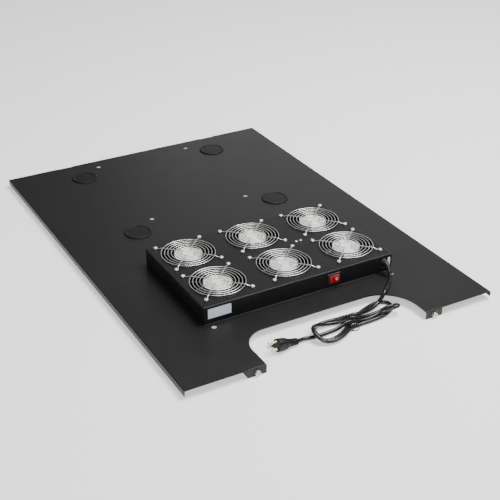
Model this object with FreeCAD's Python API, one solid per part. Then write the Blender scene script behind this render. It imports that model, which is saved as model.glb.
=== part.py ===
import FreeCAD, Part
import math
import os

V = FreeCAD.Vector

# ---------------------------------------------------------------------------
# Rack fan tray: a folded sheet roof panel for a 19 inch cabinet, with a
# raised tray of six 120 x 38 mm axial fans, finger guards, a rocker switch
# and a captive mains lead.  Millimetres.  Origin: centre of the footprint on
# the plane that the four fixing tabs stand on.  +X right, +Y to the rear of
# the cabinet, +Z up.
# ---------------------------------------------------------------------------

# ---- sheet metal ----
SHEET = 1.2                 # sheet thickness of panel and tray
PANEL_W = 705.0             # roof panel, X
PANEL_D = 1015.0            # roof panel, Y
PANEL_TOP = 18.0            # top face of the panel above the tab feet
FLANGE_H = 12.0             # down-turned edge along both long sides
BEND_R = 2.2                # outer bend radius
TAB_W = 40.0                # fixing tabs
TAB_RETURN = 25.0           # side return of a fixing tab
TAB_SLOT_R = 3.3            # M6 slot in a tab
TAB_SCREW_Z = 6.6           # centre of the tab screw
FRONT_CX = 2.5              # centre line of cut-out, front tabs and fan grid
CUT_XL, CUT_XR = -182.0, 187.0      # cable cut-out, open to the front
CUT_Y = -398.5              # rear edge of the cable cut-out
CUT_RL, CUT_RR = 55.0, 75.0         # its corner radii
INTAKE = (-213.0, 218.0, -317.0, -59.6)   # air intake under the tray
HOLE_BOLT_R = 5.5           # M10 clearance holes in the panel
REAR_BOLTS = [(sx * 125.0, y) for y in (134.5, 469.5) for sx in (-1, 1)]
FRONT_BOLTS = [(FRONT_CX + sx * 212.0, -347.7) for sx in (-1, 1)]
KNOCKOUT_R = 30.0           # cable entry holes closed by plugs
KNOCKOUTS = [(-181.0, 89.0), (181.0, 89.0), (-181.0, 425.4), (181.0, 425.4)]
CAP_R = 32.0                # outer radius of a hole plug

# ---- tray ----
TRAY_X0, TRAY_X1 = -225.0, 225.0
TRAY_Y0, TRAY_Y1 = -333.0, -58.0
TRAY_TOP = 57.5
TRAY_FLANGE = 12.0
AIR_R = 58.3                # air opening over each fan
TRAY_SCREWS_F = [(-150.0, -327.0), (40.0, -327.0), (140.0, -327.0)]
TRAY_SCREWS_R = [(-150.0, -51.0), (2.5, -51.0), (150.0, -51.0)]

# ---- fans ----
FAN = 120.0
FAN_DEPTH = 38.0
FAN_HOLE = 52.5             # half the 105 mm screw pitch
FAN_HOLE_R = 2.25
BORE_R = 57.5
FAN_X = [FRONT_CX - 156.0, FRONT_CX, FRONT_CX + 156.0]
FAN_Y = [-188.2 - 67.85, -188.2 + 67.85]
FAN_TOP = TRAY_TOP - SHEET
FAN_BOT = FAN_TOP - FAN_DEPTH
HUB_DISC_R = 31.0
HUB_TOP = TRAY_TOP - 2.2
HUB_DISC_T = 3.0
LABEL_T = 0.3
SHAFT_R = 2.5
SLEEVE_BORE_R = 2.56
BLADES = 7
BLADE_TIP_R = 56.2

# ---- finger guards ----
WIRE_R = 0.9
RIB_R = 1.1
GUARD_RINGS = [57.8, 50.7, 43.6, 36.5, 29.4, 22.3, 15.2]
RING_Z = TRAY_TOP + 2.0
RIB_Z = TRAY_TOP + 3.85
EYE_Z = TRAY_TOP + 1.1

# ---- switch, labels, gland on the front face ----
SW_CX, SW_CZ = 77.75, 38.0
SW_BEZEL = (31.0, 25.6)
SW_BODY = (28.6, 23.0)
ROCKER = (23.4, 18.2)
ROCKER_REST = -7.0          # degrees about Z at rest
GLAND_X, GLAND_Z = 204.6, 42.0
TERM_SCREWS = [(74.0, -189.0), (84.5, -189.0)]

# ---- mains lead ----
CORD_R = 4.2

# front of the gland nose, where the lead starts
LEAD_START = (GLAND_X - 0.6, TRAY_Y0 - 8.0, GLAND_Z)
# lead: out of the gland, down onto the panel, over the cut-out edge and down
LEAD_ROUTE = [LEAD_START,
              (204.0, -347.4, 40.8),
              (204.3, -354.0, 34.2),
              (204.4, -359.3, 27.4),
              (198.8, -367.3, 22.8),
              (185.0, -381.0, 22.6),
              (169.5, -396.2, 22.8),
              (153.5, -409.9, 25.6),
              (140.5, -417.0, 16.6),
              (127.5, -421.5, 8.0)]
TAIL_ROUTE = [(-37.0, -456.6, 5.2),
              (-50.0, -456.3, 4.8),
              (-60.5, -452.4, 4.5),
              (-70.5, -452.2, 5.0),
              (-79.5, -456.0, 6.9),
              (-86.0, -456.95, 8.0)]
HANK_H = 16.2

# plug: centre of its face, centre of its lead end
PLUG_FACE = V(-133.0, -458.6, 14.5)
PLUG_END = V(-86.0, -456.95, 8.0)

OUT = {}


def box(x0, x1, y0, y1, z0, z1):
    return Part.makeBox(x1 - x0, y1 - y0, z1 - z0, V(x0, y0, z0))


def cyl(r, z0, z1, x=0.0, y=0.0):
    return Part.makeCylinder(r, z1 - z0, V(x, y, z0))


def cyl_dir(r, p, d, length):
    return Part.makeCylinder(r, length, V(*p), V(*d))


def ring(ro, ri, z0, z1, x=0.0, y=0.0):
    return cyl(ro, z0, z1, x, y).cut(cyl(ri, z0 - 1, z1 + 1, x, y))


def prism(points, z0, z1):
    w = Part.makePolygon([V(x, y, z0) for x, y in points] +
                         [V(points[0][0], points[0][1], z0)])
    return Part.Face(w).extrude(V(0, 0, z1 - z0))


def clean(s):
    s = s.removeSplitter()
    return s


def group(shapes):
    return Part.makeCompound(shapes)


def tube(points, r, name):
    """Round tube along straight runs joined by tangent arcs.  Each arc is
    0.45 of its shorter run divided by the tangent of half the turn."""
    pts = [V(*p) for p in points]
    n = len(pts)
    runs = [(pts[i + 1] - pts[i]).Length for i in range(n - 1)]
    edges, radii, length = [], [], 0.0
    here = pts[0]
    for i in range(1, n - 1):
        a = (pts[i] - pts[i - 1]).normalize()
        b = (pts[i + 1] - pts[i]).normalize()
        turn = a.getAngle(b)
        cut = 0.45 * min(runs[i - 1], runs[i])
        rad = cut / math.tan(turn / 2.0)
        p1 = pts[i] - a * cut
        p2 = pts[i] + b * cut
        centre_dir = (b - a).normalize()
        mid = pts[i] + centre_dir * (rad / math.cos(turn / 2.0) - rad)
        edges.append(Part.LineSegment(here, p1).toShape())
        edges.append(Part.Arc(p1, mid, p2).toShape())
        length += (p1 - here).Length + rad * turn
        radii.append(round(rad, 1))
        here = p2
    edges.append(Part.LineSegment(here, pts[-1]).toShape())
    length += (pts[-1] - here).Length
    wire = Part.Wire(edges)
    d0 = (pts[1] - pts[0]).normalize()
    prof = Part.Wire([Part.Circle(pts[0], d0, r).toShape()])
    solid = wire.makePipeShell([prof], True, False)
    area = math.pi * r * r
    print("%s: length %.1f, runs %s, bend radii %s, volume %.0f against %.0f" % (
        name, length, [round(q, 1) for q in runs], radii,
        solid.Volume, area * length))
    return solid


def pan_head(x, y, z, head_r, head_h, shank_r, length):
    """Pan head screw, axis -Z, head resting at z, shank going down."""
    h = cyl(head_r, z, z + head_h, x, y)
    h = h.makeFillet(head_h * 0.55, [e for e in h.Edges
                                     if abs(e.BoundBox.ZMin - (z + head_h)) < 1e-6
                                     and abs(e.BoundBox.ZMax - (z + head_h)) < 1e-6])
    c1 = box(x - head_r * 0.55, x + head_r * 0.55, y - 0.45, y + 0.45,
             z + head_h * 0.45, z + head_h + 1)
    c2 = box(x - 0.45, x + 0.45, y - head_r * 0.55, y + head_r * 0.55,
             z + head_h * 0.45, z + head_h + 1)
    h = h.cut(c1.fuse(c2))
    return h.fuse(cyl(shank_r, z - length, z, x, y))


def hex_nut(af, h, bore_r):
    r = af / math.sqrt(3.0)
    pts = [(r * math.cos(math.radians(60 * k)), r * math.sin(math.radians(60 * k)))
           for k in range(6)]
    return prism(pts, 0, h).cut(cyl(bore_r, -1, h + 1))


# ---------------------------------------------------------------------------
# roof panel
# ---------------------------------------------------------------------------
def roof_panel():
    w, d = PANEL_W / 2, PANEL_D / 2
    t, ro = SHEET, BEND_R
    ri = ro - t
    zt = PANEL_TOP
    zb = PANEL_TOP - FLANGE_H
    y0 = -d

    def p(x, z):
        return V(x, y0, z)
    s = math.sqrt(0.5)
    outer_l, outer_r = p(-w + ro * (1 - s), zt - ro * (1 - s)), p(w - ro * (1 - s), zt - ro * (1 - s))
    inner_l, inner_r = p(-w + t + ri * (1 - s), zt - t - ri * (1 - s)), p(w - t - ri * (1 - s), zt - t - ri * (1 - s))
    e = [Part.LineSegment(p(-w, zb), p(-w, zt - ro)).toShape(),
         Part.Arc(p(-w, zt - ro), outer_l, p(-w + ro, zt)).toShape(),
         Part.LineSegment(p(-w + ro, zt), p(w - ro, zt)).toShape(),
         Part.Arc(p(w - ro, zt), outer_r, p(w, zt - ro)).toShape(),
         Part.LineSegment(p(w, zt - ro), p(w, zb)).toShape(),
         Part.LineSegment(p(w, zb), p(w - t, zb)).toShape(),
         Part.LineSegment(p(w - t, zb), p(w - t, zt - ro)).toShape(),
         Part.Arc(p(w - t, zt - ro), inner_r, p(w - ro, zt - t)).toShape(),
         Part.LineSegment(p(w - ro, zt - t), p(-w + ro, zt - t)).toShape(),
         Part.Arc(p(-w + ro, zt - t), inner_l, p(-w + t, zt - ro)).toShape(),
         Part.LineSegment(p(-w + t, zt - ro), p(-w + t, zb)).toShape(),
         Part.LineSegment(p(-w + t, zb), p(-w, zb)).toShape()]
    body = Part.Face(Part.Wire(e)).extrude(V(0, PANEL_D, 0))

    # fixing tabs: front pair on the cut-out's centre line, rear pair mirrored
    def tab(x0, x1, outer, front):
        """Tab with its face on the -Y side, in place for the front edge."""
        yf = -d
        prof = [Part.LineSegment(V(x0, yf, 0), V(x0, yf, zt - ro)).toShape(),
                Part.Arc(V(x0, yf, zt - ro), V(x0, yf + ro * (1 - s), zt - ro * (1 - s)),
                         V(x0, yf + ro, zt)).toShape(),
                Part.LineSegment(V(x0, yf + ro, zt), V(x0, yf + ro + 3, zt)).toShape(),
                Part.LineSegment(V(x0, yf + ro + 3, zt), V(x0, yf + ro + 3, zt - t)).toShape(),
                Part.LineSegment(V(x0, yf + ro + 3, zt - t), V(x0, yf + ro, zt - t)).toShape(),
                Part.Arc(V(x0, yf + ro, zt - t), V(x0, yf + t + ri * (1 - s), zt - t - ri * (1 - s)),
                         V(x0, yf + t, zt - ro)).toShape(),
                Part.LineSegment(V(x0, yf + t, zt - ro), V(x0, yf + t, 0)).toShape(),
                Part.LineSegment(V(x0, yf + t, 0), V(x0, yf, 0)).toShape()]
        solid = Part.Face(Part.Wire(prof)).extrude(V(x1 - x0, 0, 0))
        xo = x0 if outer < 0 else x1 - t
        ret = box(xo, xo + t, yf + 0.4, yf + TAB_RETURN, 0, zt - t + 0.2)
        solid = solid.fuse(ret)
        xc = (x0 + x1) / 2
        slot = cyl_dir(TAB_SLOT_R, (xc, yf - 2, TAB_SCREW_Z), (0, 1, 0), 6)
        slot = slot.fuse(box(xc - TAB_SLOT_R, xc + TAB_SLOT_R, yf - 2, yf + 4, -1, TAB_SCREW_Z))
        return solid.cut(slot)

    tabs = [tab(CUT_XL - TAB_W, CUT_XL, -1, True), tab(CUT_XR, CUT_XR + TAB_W, 1, True)]
    rear = []
    for q in tabs:
        rear.append(q.mirror(V(0, 0, 0), V(0, 1, 0)))

    # outside the tabs the front edge stays a plain cut edge; over each tab
    # the flat is trimmed back so that the tab's bend is the edge
    for x0, x1 in ((CUT_XL - TAB_W, CUT_XL), (CUT_XR, CUT_XR + TAB_W)):
        for sy in (-1, 1):
            ya, yb = (-d - 1, -d + ro) if sy < 0 else (d - ro, d + 1)
            body = body.cut(box(x0, x1, ya, yb, zt - t - 1, zt + 1))
    body = body.fuse(tabs + rear)

    # cable cut-out, open to the front, with two corner radii
    xl, xr, yc, a, b = CUT_XL, CUT_XR, CUT_Y, CUT_RL, CUT_RR
    yf = -d - 5

    def q2(x, y):
        return V(x, y, -5)
    ce = [Part.LineSegment(q2(xl, yf), q2(xl, yc - a)).toShape(),
          Part.Arc(q2(xl, yc - a), q2(xl + a * (1 - s), yc - a * (1 - s)), q2(xl + a, yc)).toShape(),
          Part.LineSegment(q2(xl + a, yc), q2(xr - b, yc)).toShape(),
          Part.Arc(q2(xr - b, yc), q2(xr - b * (1 - s), yc - b * (1 - s)), q2(xr, yc - b)).toShape(),
          Part.LineSegment(q2(xr, yc - b), q2(xr, yf)).toShape(),
          Part.LineSegment(q2(xr, yf), q2(xl, yf)).toShape()]
    body = body.cut(Part.Face(Part.Wire(ce)).extrude(V(0, 0, 40)))

    # air intake under the tray
    x0, x1, y0i, y1i = INTAKE
    ik = box(x0, x1, y0i, y1i, 10, 30)
    ik = ik.makeFillet(2.0, [e for e in ik.Edges if e.BoundBox.ZLength > 5])
    body = body.cut(ik)

    holes = []
    for x, y in REAR_BOLTS + FRONT_BOLTS:
        holes.append(cyl(HOLE_BOLT_R, 10, 25, x, y))
    for x, y in KNOCKOUTS:
        holes.append(cyl(KNOCKOUT_R, 10, 25, x, y))
    for x, y in TRAY_SCREWS_F + TRAY_SCREWS_R:
        holes.append(cyl(2.25, 10, 25, x, y))
    body = body.cut(group(holes))
    return clean(body)


# ---------------------------------------------------------------------------
# tray
# ---------------------------------------------------------------------------
def tray_housing():
    x0, x1, y0, y1 = TRAY_X0, TRAY_X1, TRAY_Y0, TRAY_Y1
    t = SHEET
    z0, z1 = PANEL_TOP, TRAY_TOP
    o = box(x0, x1, y0, y1, z0, z1)
    o = o.makeFillet(1.6, [e for e in o.Edges if e.BoundBox.ZLength > 5])
    o = o.makeFillet(2.0, [e for e in o.Edges
                           if e.BoundBox.ZMin > z1 - 0.01])
    i = box(x0 + t, x1 - t, y0 + t, y1 - t, z0 - 1, z1 - t)
    s = o.cut(i)
    # inward flange along the front, outward flange along the rear
    s = s.fuse(box(x0 + 6, x1 - 6, y0 + t - 0.4, y0 + TRAY_FLANGE, z0, z0 + t))
    s = s.fuse(box(x0 + 6, x1 - 6, y1 - 0.4, y1 + TRAY_FLANGE, z0, z0 + t))
    cuts = []
    for x in FAN_X:
        for y in FAN_Y:
            cuts.append(cyl(AIR_R, z1 - 5, z1 + 5, x, y))
            for sx in (-1, 1):
                for sy in (-1, 1):
                    cuts.append(cyl(FAN_HOLE_R, z1 - 5, z1 + 5, x + sx * FAN_HOLE, y + sy * FAN_HOLE))
    for x, y in TERM_SCREWS:
        cuts.append(cyl(1.7, z1 - 5, z1 + 5, x, y))
    for x, y in TRAY_SCREWS_F + TRAY_SCREWS_R:
        cuts.append(cyl(2.25, z0 - 2, z0 + 4, x, y))
    s = s.cut(group(cuts))
    s = s.cut(box(SW_CX - SW_BODY[0] / 2, SW_CX + SW_BODY[0] / 2, y0 - 2, y0 + 2,
                  SW_CZ - SW_BODY[1] / 2, SW_CZ + SW_BODY[1] / 2))
    s = s.cut(cyl_dir(6.6, (GLAND_X, y0 - 2, GLAND_Z), (0, 1, 0), 4))
    return clean(s)


# ---------------------------------------------------------------------------
# one fan, built about its own axis
# ---------------------------------------------------------------------------
def fan_frame():
    h = FAN / 2
    zb, zt = FAN_BOT, FAN_TOP
    plate = box(-h, h, -h, h, zb, zb + 4.5)
    plate = plate.makeFillet(4.0, [e for e in plate.Edges if e.BoundBox.ZLength > 2])
    top = plate.copy()
    top.translate(V(0, 0, zt - zb - 4.5))
    body = plate.fuse([top, cyl(59.7, zb + 2, zt - 2)])
    for sx in (-1, 1):
        for sy in (-1, 1):
            body = body.fuse(cyl(5.0, zb + 2, zt - 2, sx * FAN_HOLE, sy * FAN_HOLE))
    body = body.cut(cyl(BORE_R, zb - 1, zt + 1))
    # fixed hub disc carried by four struts at the outlet side
    disc = cyl(HUB_DISC_R, HUB_TOP - HUB_DISC_T, HUB_TOP)
    struts = []
    for k in range(4):
        b = box(HUB_DISC_R - 3, BORE_R + 1.0, -3.0, 3.0, HUB_TOP - 4.6, HUB_TOP - 0.4)
        b.rotate(V(0, 0, 0), V(0, 0, 1), 45 + 90 * k + 12)
        struts.append(b)
    seat = cyl(6.5, 26.0, HUB_TOP - HUB_DISC_T)
    body = body.fuse([disc, seat] + struts)
    body = body.cut(cyl(5.0, 25.0, HUB_TOP - HUB_DISC_T))
    for sx in (-1, 1):
        for sy in (-1, 1):
            body = body.cut(cyl(FAN_HOLE_R, zb - 1, zt + 1, sx * FAN_HOLE, sy * FAN_HOLE))
    return clean(body)


def fan_impeller():
    cup = cyl(30.5, 20.0, HUB_TOP - 5.8)
    cup = cup.cut(cyl(29.0, 22.2, 60.0))
    cup = cup.fuse(cyl(5.5, 22.0, 25.2))
    cup = cup.cut(cyl(SHAFT_R, 15.0, 60.0))
    zlo, zhi = 21.5, HUB_TOP - 6.4
    blades = []
    for k in range(BLADES):
        b = box(29.6, 62.0, -24.0, 24.0, -1.1, 1.1)
        b.rotate(V(0, 0, 0), V(1, 0, 0), 38)
        b.translate(V(0, 0, (zlo + zhi) / 2))
        b = b.common(cyl(BLADE_TIP_R, zlo, zhi))
        b = b.cut(cyl(29.2, 0, 60))
        b.rotate(V(0, 0, 0), V(0, 0, 1), 360.0 / BLADES * k)
        blades.append(b)
    return clean(cup.fuse(blades))


def fan_shaft():
    return cyl(SHAFT_R - 0.0, 21.0, 50.8)


def fan_bearings():
    return [ring(4.99, SLEEVE_BORE_R, 27.0, 33.0), ring(4.99, SLEEVE_BORE_R, 44.0, 50.0)]


def fan_stator():
    s = ring(26.0, 6.52, 29.0, 46.5)
    cuts = []
    for k in range(8):
        c = box(15.0, 27.0, -2.2, 2.2, 25.0, 50.0)
        c.rotate(V(0, 0, 0), V(0, 0, 1), 45 * k + 10)
        cuts.append(c)
    return s.cut(group(cuts))


def finger_guard():
    parts = []
    for r in GUARD_RINGS:
        parts.append(Part.makeTorus(r, WIRE_R, V(0, 0, RING_Z)))
    ribs = []
    for k in range(4):
        a = math.radians(45 + 90 * k)
        c, s_ = math.cos(a), math.sin(a)
        ribs.append(Part.makeCylinder(RIB_R, 61.0 - 14.0, V(14.0 * c, 14.0 * s_, RIB_Z), V(c, s_, 0)))
        # step down from the ribs' height to the eyelet
        d = V(66.5 * c, 66.5 * s_, EYE_Z) - V(61.0 * c, 61.0 * s_, RIB_Z)
        ribs.append(Part.makeCylinder(RIB_R, d.Length, V(61.0 * c, 61.0 * s_, RIB_Z), d))
        ribs.append(Part.makeSphere(RIB_R, V(61.0 * c, 61.0 * s_, RIB_Z)))
        ribs.append(Part.makeSphere(RIB_R, V(66.5 * c, 66.5 * s_, EYE_Z)))
        ribs.append(Part.makeCylinder(RIB_R, 4.9, V(66.5 * c, 66.5 * s_, EYE_Z), V(c, s_, 0)))
        ribs.append(ring(4.1, 2.3, TRAY_TOP + 0.05, TRAY_TOP + 2.15, FAN_HOLE * (1 if c > 0 else -1), FAN_HOLE * (1 if s_ > 0 else -1)))
    g = parts[0].fuse(parts[1:] + ribs)
    return g


# ---------------------------------------------------------------------------
# switch: rocks about a vertical pin behind its face
# ---------------------------------------------------------------------------
PIVOT_Y = TRAY_Y0 + 3.0


def switch_housing():
    y0 = TRAY_Y0
    bw, bh = SW_BEZEL
    w, h = SW_BODY
    rw, rh = ROCKER[0] + 1.1, ROCKER[1] + 0.5
    bez = box(SW_CX - bw / 2, SW_CX + bw / 2, y0 - 2.0, y0, SW_CZ - bh / 2, SW_CZ + bh / 2)
    bez = bez.makeFillet(1.2, [e for e in bez.Edges if e.BoundBox.YMax < y0 - 1.9])
    bw2, bh2 = w - 0.3, h - 0.3
    bod = box(SW_CX - bw2 / 2, SW_CX + bw2 / 2, y0 - 0.5, y0 + 23.0, SW_CZ - bh2 / 2, SW_CZ + bh2 / 2)
    s = bez.fuse(bod)
    s = s.cut(box(SW_CX - rw / 2, SW_CX + rw / 2, y0 - 5, y0 + 13.0, SW_CZ - rh / 2, SW_CZ + rh / 2))
    # sockets of the rocker's pivot pins
    s = s.cut(cyl(1.26, SW_CZ - rh / 2 - 0.55, SW_CZ + rh / 2 + 0.55, SW_CX, PIVOT_Y))
    return clean(s)


def switch_rocker():
    rw, rh = ROCKER
    y0 = TRAY_Y0
    # shallow vee across the front, rounded back
    h = rw / 2
    pts = [V(-h + 0.7, y0 - 4.6, 0), V(0, y0 - 2.2, 0), V(h - 0.7, y0 - 4.6, 0),
           V(h - 0.2, y0 - 0.8, 0), V(h - 4.0, y0 + 7.5, 0), V(-h + 4.0, y0 + 7.5, 0),
           V(-h + 0.2, y0 - 0.8, 0), V(-h + 0.7, y0 - 4.6, 0)]
    f = Part.Face(Part.makePolygon([V(p.x + SW_CX, p.y, SW_CZ - rh / 2) for p in pts]))
    s = f.extrude(V(0, 0, rh))
    s = s.fuse(cyl(1.2, SW_CZ - rh / 2 - 0.7, SW_CZ + rh / 2 + 0.7, SW_CX, PIVOT_Y))
    s.rotate(V(SW_CX, PIVOT_Y, 0), V(0, 0, 1), ROCKER_REST)
    return clean(s)


def switch_terminals():
    y = TRAY_Y0 + 23.0
    out = []
    for dx in (-9.0, 0.0, 9.0):
        for dz in (-4.5, 4.5):
            if dx == 0.0 and dz > 0:
                continue
            out.append(box(SW_CX + dx - 0.4, SW_CX + dx + 0.4, y, y + 9.0,
                           SW_CZ + dz - 3.15, SW_CZ + dz + 3.15))
    return group(out)


# ---------------------------------------------------------------------------
# gland
# ---------------------------------------------------------------------------
def strain_relief():
    y0 = TRAY_Y0
    fl = cyl_dir(8.4, (GLAND_X, y0 - 2.8, GLAND_Z), (0, 1, 0), 2.8)
    fl = fl.makeFillet(1.0, [e for e in fl.Edges if e.BoundBox.YMax < y0 - 2.7])
    nose = Part.makeCone(6.9, 5.2, 6.4, V(GLAND_X, y0 - 1.6, GLAND_Z), V(-0.6 / 6.4, -1, 0))
    barrel = cyl_dir(6.5, (GLAND_X, y0 - 0.5, GLAND_Z), (0, 1, 0), 5.0)
    collar = cyl_dir(7.4, (GLAND_X, y0 + SHEET, GLAND_Z), (0, 1, 0), 6.0)
    return clean(fl.fuse([nose, barrel, collar]))


# ---------------------------------------------------------------------------
# mains lead
# ---------------------------------------------------------------------------
HANK_OUTLINE = [(-51.5, -457.0), (-52.8, -468.0), (-47.5, -481.5), (-34.0, -491.0), (-14.0, -492.2),
                (7.0, -486.6), (26.0, -475.2), (40.0, -467.2), (54.0, -466.5),
                (72.0, -466.9), (95.0, -467.5), (122.0, -464.4), (148.0, -461.0),
                (158.8, -457.0), (161.8, -448.0), (161.4, -437.0), (160.8, -425.0), (157.4, -415.0),
                (147.0, -408.4), (128.0, -408.2), (106.0, -414.0), (84.0, -421.5), (66.0, -430.0), (54.0, -433.3),
                (41.0, -432.5), (26.0, -425.0), (8.0, -417.6), (-10.0, -417.4), (-30.0, -422.5),
                (-43.0, -435.0), (-49.0, -446.0)]
TIE_X = (40.0, 50.0)
TIE_BOX = (-467.4, -431.9)


def hank_shape():
    c = Part.BSplineCurve()
    c.interpolate([V(x, y, 0.0) for x, y in HANK_OUTLINE], PeriodicFlag=True)
    f = Part.Face(Part.Wire([c.toShape()]))
    s = f.extrude(V(0, 0, HANK_H))
    # groove that the tie sits in
    x0, x1 = TIE_X
    groove = box(x0, x1, -500, -400, -1, 30).cut(
        box(x0 - 1, x1 + 1, TIE_BOX[0] + 1.2, TIE_BOX[1] - 1.2, 0.9, HANK_H - 0.3))
    return s.cut(groove)


def tie_shape():
    x0, x1 = TIE_X
    o = box(x0 + 0.2, x1 - 0.2, TIE_BOX[0], TIE_BOX[1], 0.0, HANK_H + 0.6)
    i = box(x0 - 1, x1 + 1, TIE_BOX[0] + 1.2, TIE_BOX[1] - 1.2, 0.9, HANK_H - 0.3)
    return o.cut(i)


def plug_frame():
    """Direction towards the plug's face, its sideways and its up axes."""
    a = (PLUG_FACE - PLUG_END).normalize()
    side = V(0, 0, 1).cross(a).normalize()
    up = a.cross(side)
    if up.z < 0:
        up = up * -1
    return a, side, up


def plug_place(shape):
    """From plug axes (+Z to the face, origin at the face, +X up) to place."""
    a, side, up = plug_frame()
    y = a.cross(up)
    m = FreeCAD.Matrix(up.x, y.x, a.x, PLUG_FACE.x,
                       up.y, y.y, a.y, PLUG_FACE.y,
                       up.z, y.z, a.z, PLUG_FACE.z,
                       0, 0, 0, 1)
    s = shape.copy()
    s.transformShape(m)
    return s


def plug_body():
    L = (PLUG_FACE - PLUG_END).Length
    # revolved body: face, flared grip, waist, lead boot
    prof = [(0, 0), (12.4, 0), (13.0, -1.0), (12.6, -12.0), (11.0, -23.5), (8.9, -25.0),
            (8.6, -30.5), (7.7, -32.0), (7.3, -42.0), (6.5, -L + 1.0), (5.4, -L), (0, -L)]
    w = Part.makePolygon([V(r, 0, z) for r, z in prof] + [V(0, 0, 0)])
    s = Part.Face(w).revolve(V(0, 0, 0), V(0, 0, 1), 360)
    # flat grip facets on both sides
    for sgn in (-1, 1):
        g = box(-20, 20, 11.3, 20, -23.0, -6.0) if sgn > 0 else box(-20, 20, -20, -11.3, -23.0, -6.0)
        s = s.cut(g)
    # pockets that the pins are moulded into
    s = s.cut(box(-3.5 - 3.175, -3.5 + 3.175, 6.35 - 0.75, 6.35 + 0.75, -12, 1))
    s = s.cut(box(-3.5 - 3.175, -3.5 + 3.175, -6.35 - 0.75, -6.35 + 0.75, -12, 1))
    s = s.cut(cyl(2.38, -12, 1, 8.4, 0))
    return plug_place(s)


def plug_blade(sgn):
    b = box(-3.5 - 3.175, -3.5 + 3.175, sgn * 6.35 - 0.75, sgn * 6.35 + 0.75, -12.0, 17.5)
    b = b.makeChamfer(0.5, [e for e in b.Edges if e.BoundBox.ZMin > 17.4 and e.BoundBox.XLength > 3])
    b = b.cut(Part.makeCylinder(1.6, 4, V(-3.5, sgn * 6.35 - 2, 12.5), V(0, 1, 0)))
    return plug_place(b)


def plug_ground():
    g = cyl(2.38, -12.0, 18.0, 8.4, 0).fuse(Part.makeSphere(2.38, V(8.4, 0, 18.0)))
    return plug_place(g)


# ---------------------------------------------------------------------------
# hole plug: domed disc with a skirt and snap legs
# ---------------------------------------------------------------------------
def hole_plug():
    z = PANEL_TOP
    disc = cyl(CAP_R, z, z + 2.6)
    disc = disc.makeFillet(1.2, [e for e in disc.Edges if e.BoundBox.ZMin > z + 2.5])
    dish = cyl(26.0, z + 1.7, z + 5)
    skirt = ring(29.7, 28.0, z - 7.0, z + 0.5)
    s = disc.cut(dish).fuse(skirt)
    for k in range(6):
        c = box(20, 40, -2.0, 2.0, z - 9, z - 1.4)
        c.rotate(V(0, 0, 0), V(0, 0, 1), 60 * k + 30)
        s = s.cut(c)
    # snap beads under the sheet
    beads = []
    for k in range(6):
        b = ring(30.6, 29.0, z - 3.6, z - 1.9)
        wedge = box(20, 40, -5.0, 5.0, z - 6, z)
        wedge.rotate(V(0, 0, 0), V(0, 0, 1), 60 * k)
        beads.append(b.common(wedge))
    return clean(s.fuse(beads))


# ---------------------------------------------------------------------------
# fasteners
# ---------------------------------------------------------------------------
def tab_hardware():
    """Screw, washer and nut of the left front tab, axis along +Y."""
    y = -PANEL_D / 2
    head_h = 4.2
    scr = pan_head(0, 0, 0, 6.0, head_h, 2.9, 12.0)
    was = ring(6.2, 3.3, 0, 1.2)
    nut = hex_nut(10.0, 5.0, 3.0)
    nut.rotate(V(0, 0, 0), V(0, 0, 1), 30)
    out = [[], [], []]
    for cx in (CUT_XL - TAB_W / 2, CUT_XR + TAB_W / 2):
        for sy in (-1, 1):
            for i, (s, off) in enumerate(((scr, 1.2), (was, 0.0), (nut, -SHEET - 5.0))):
                c = s.copy()
                c.translate(V(0, 0, off))
                # local +Z becomes outward (-Y at the front)
                c.rotate(V(0, 0, 0), V(1, 0, 0), 90)
                c.translate(V(cx, y, TAB_SCREW_Z))
                if sy > 0:
                    c = c.mirror(V(0, 0, 0), V(0, 1, 0))
                out[i].append(c)
    return [group(o) for o in out]


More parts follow.
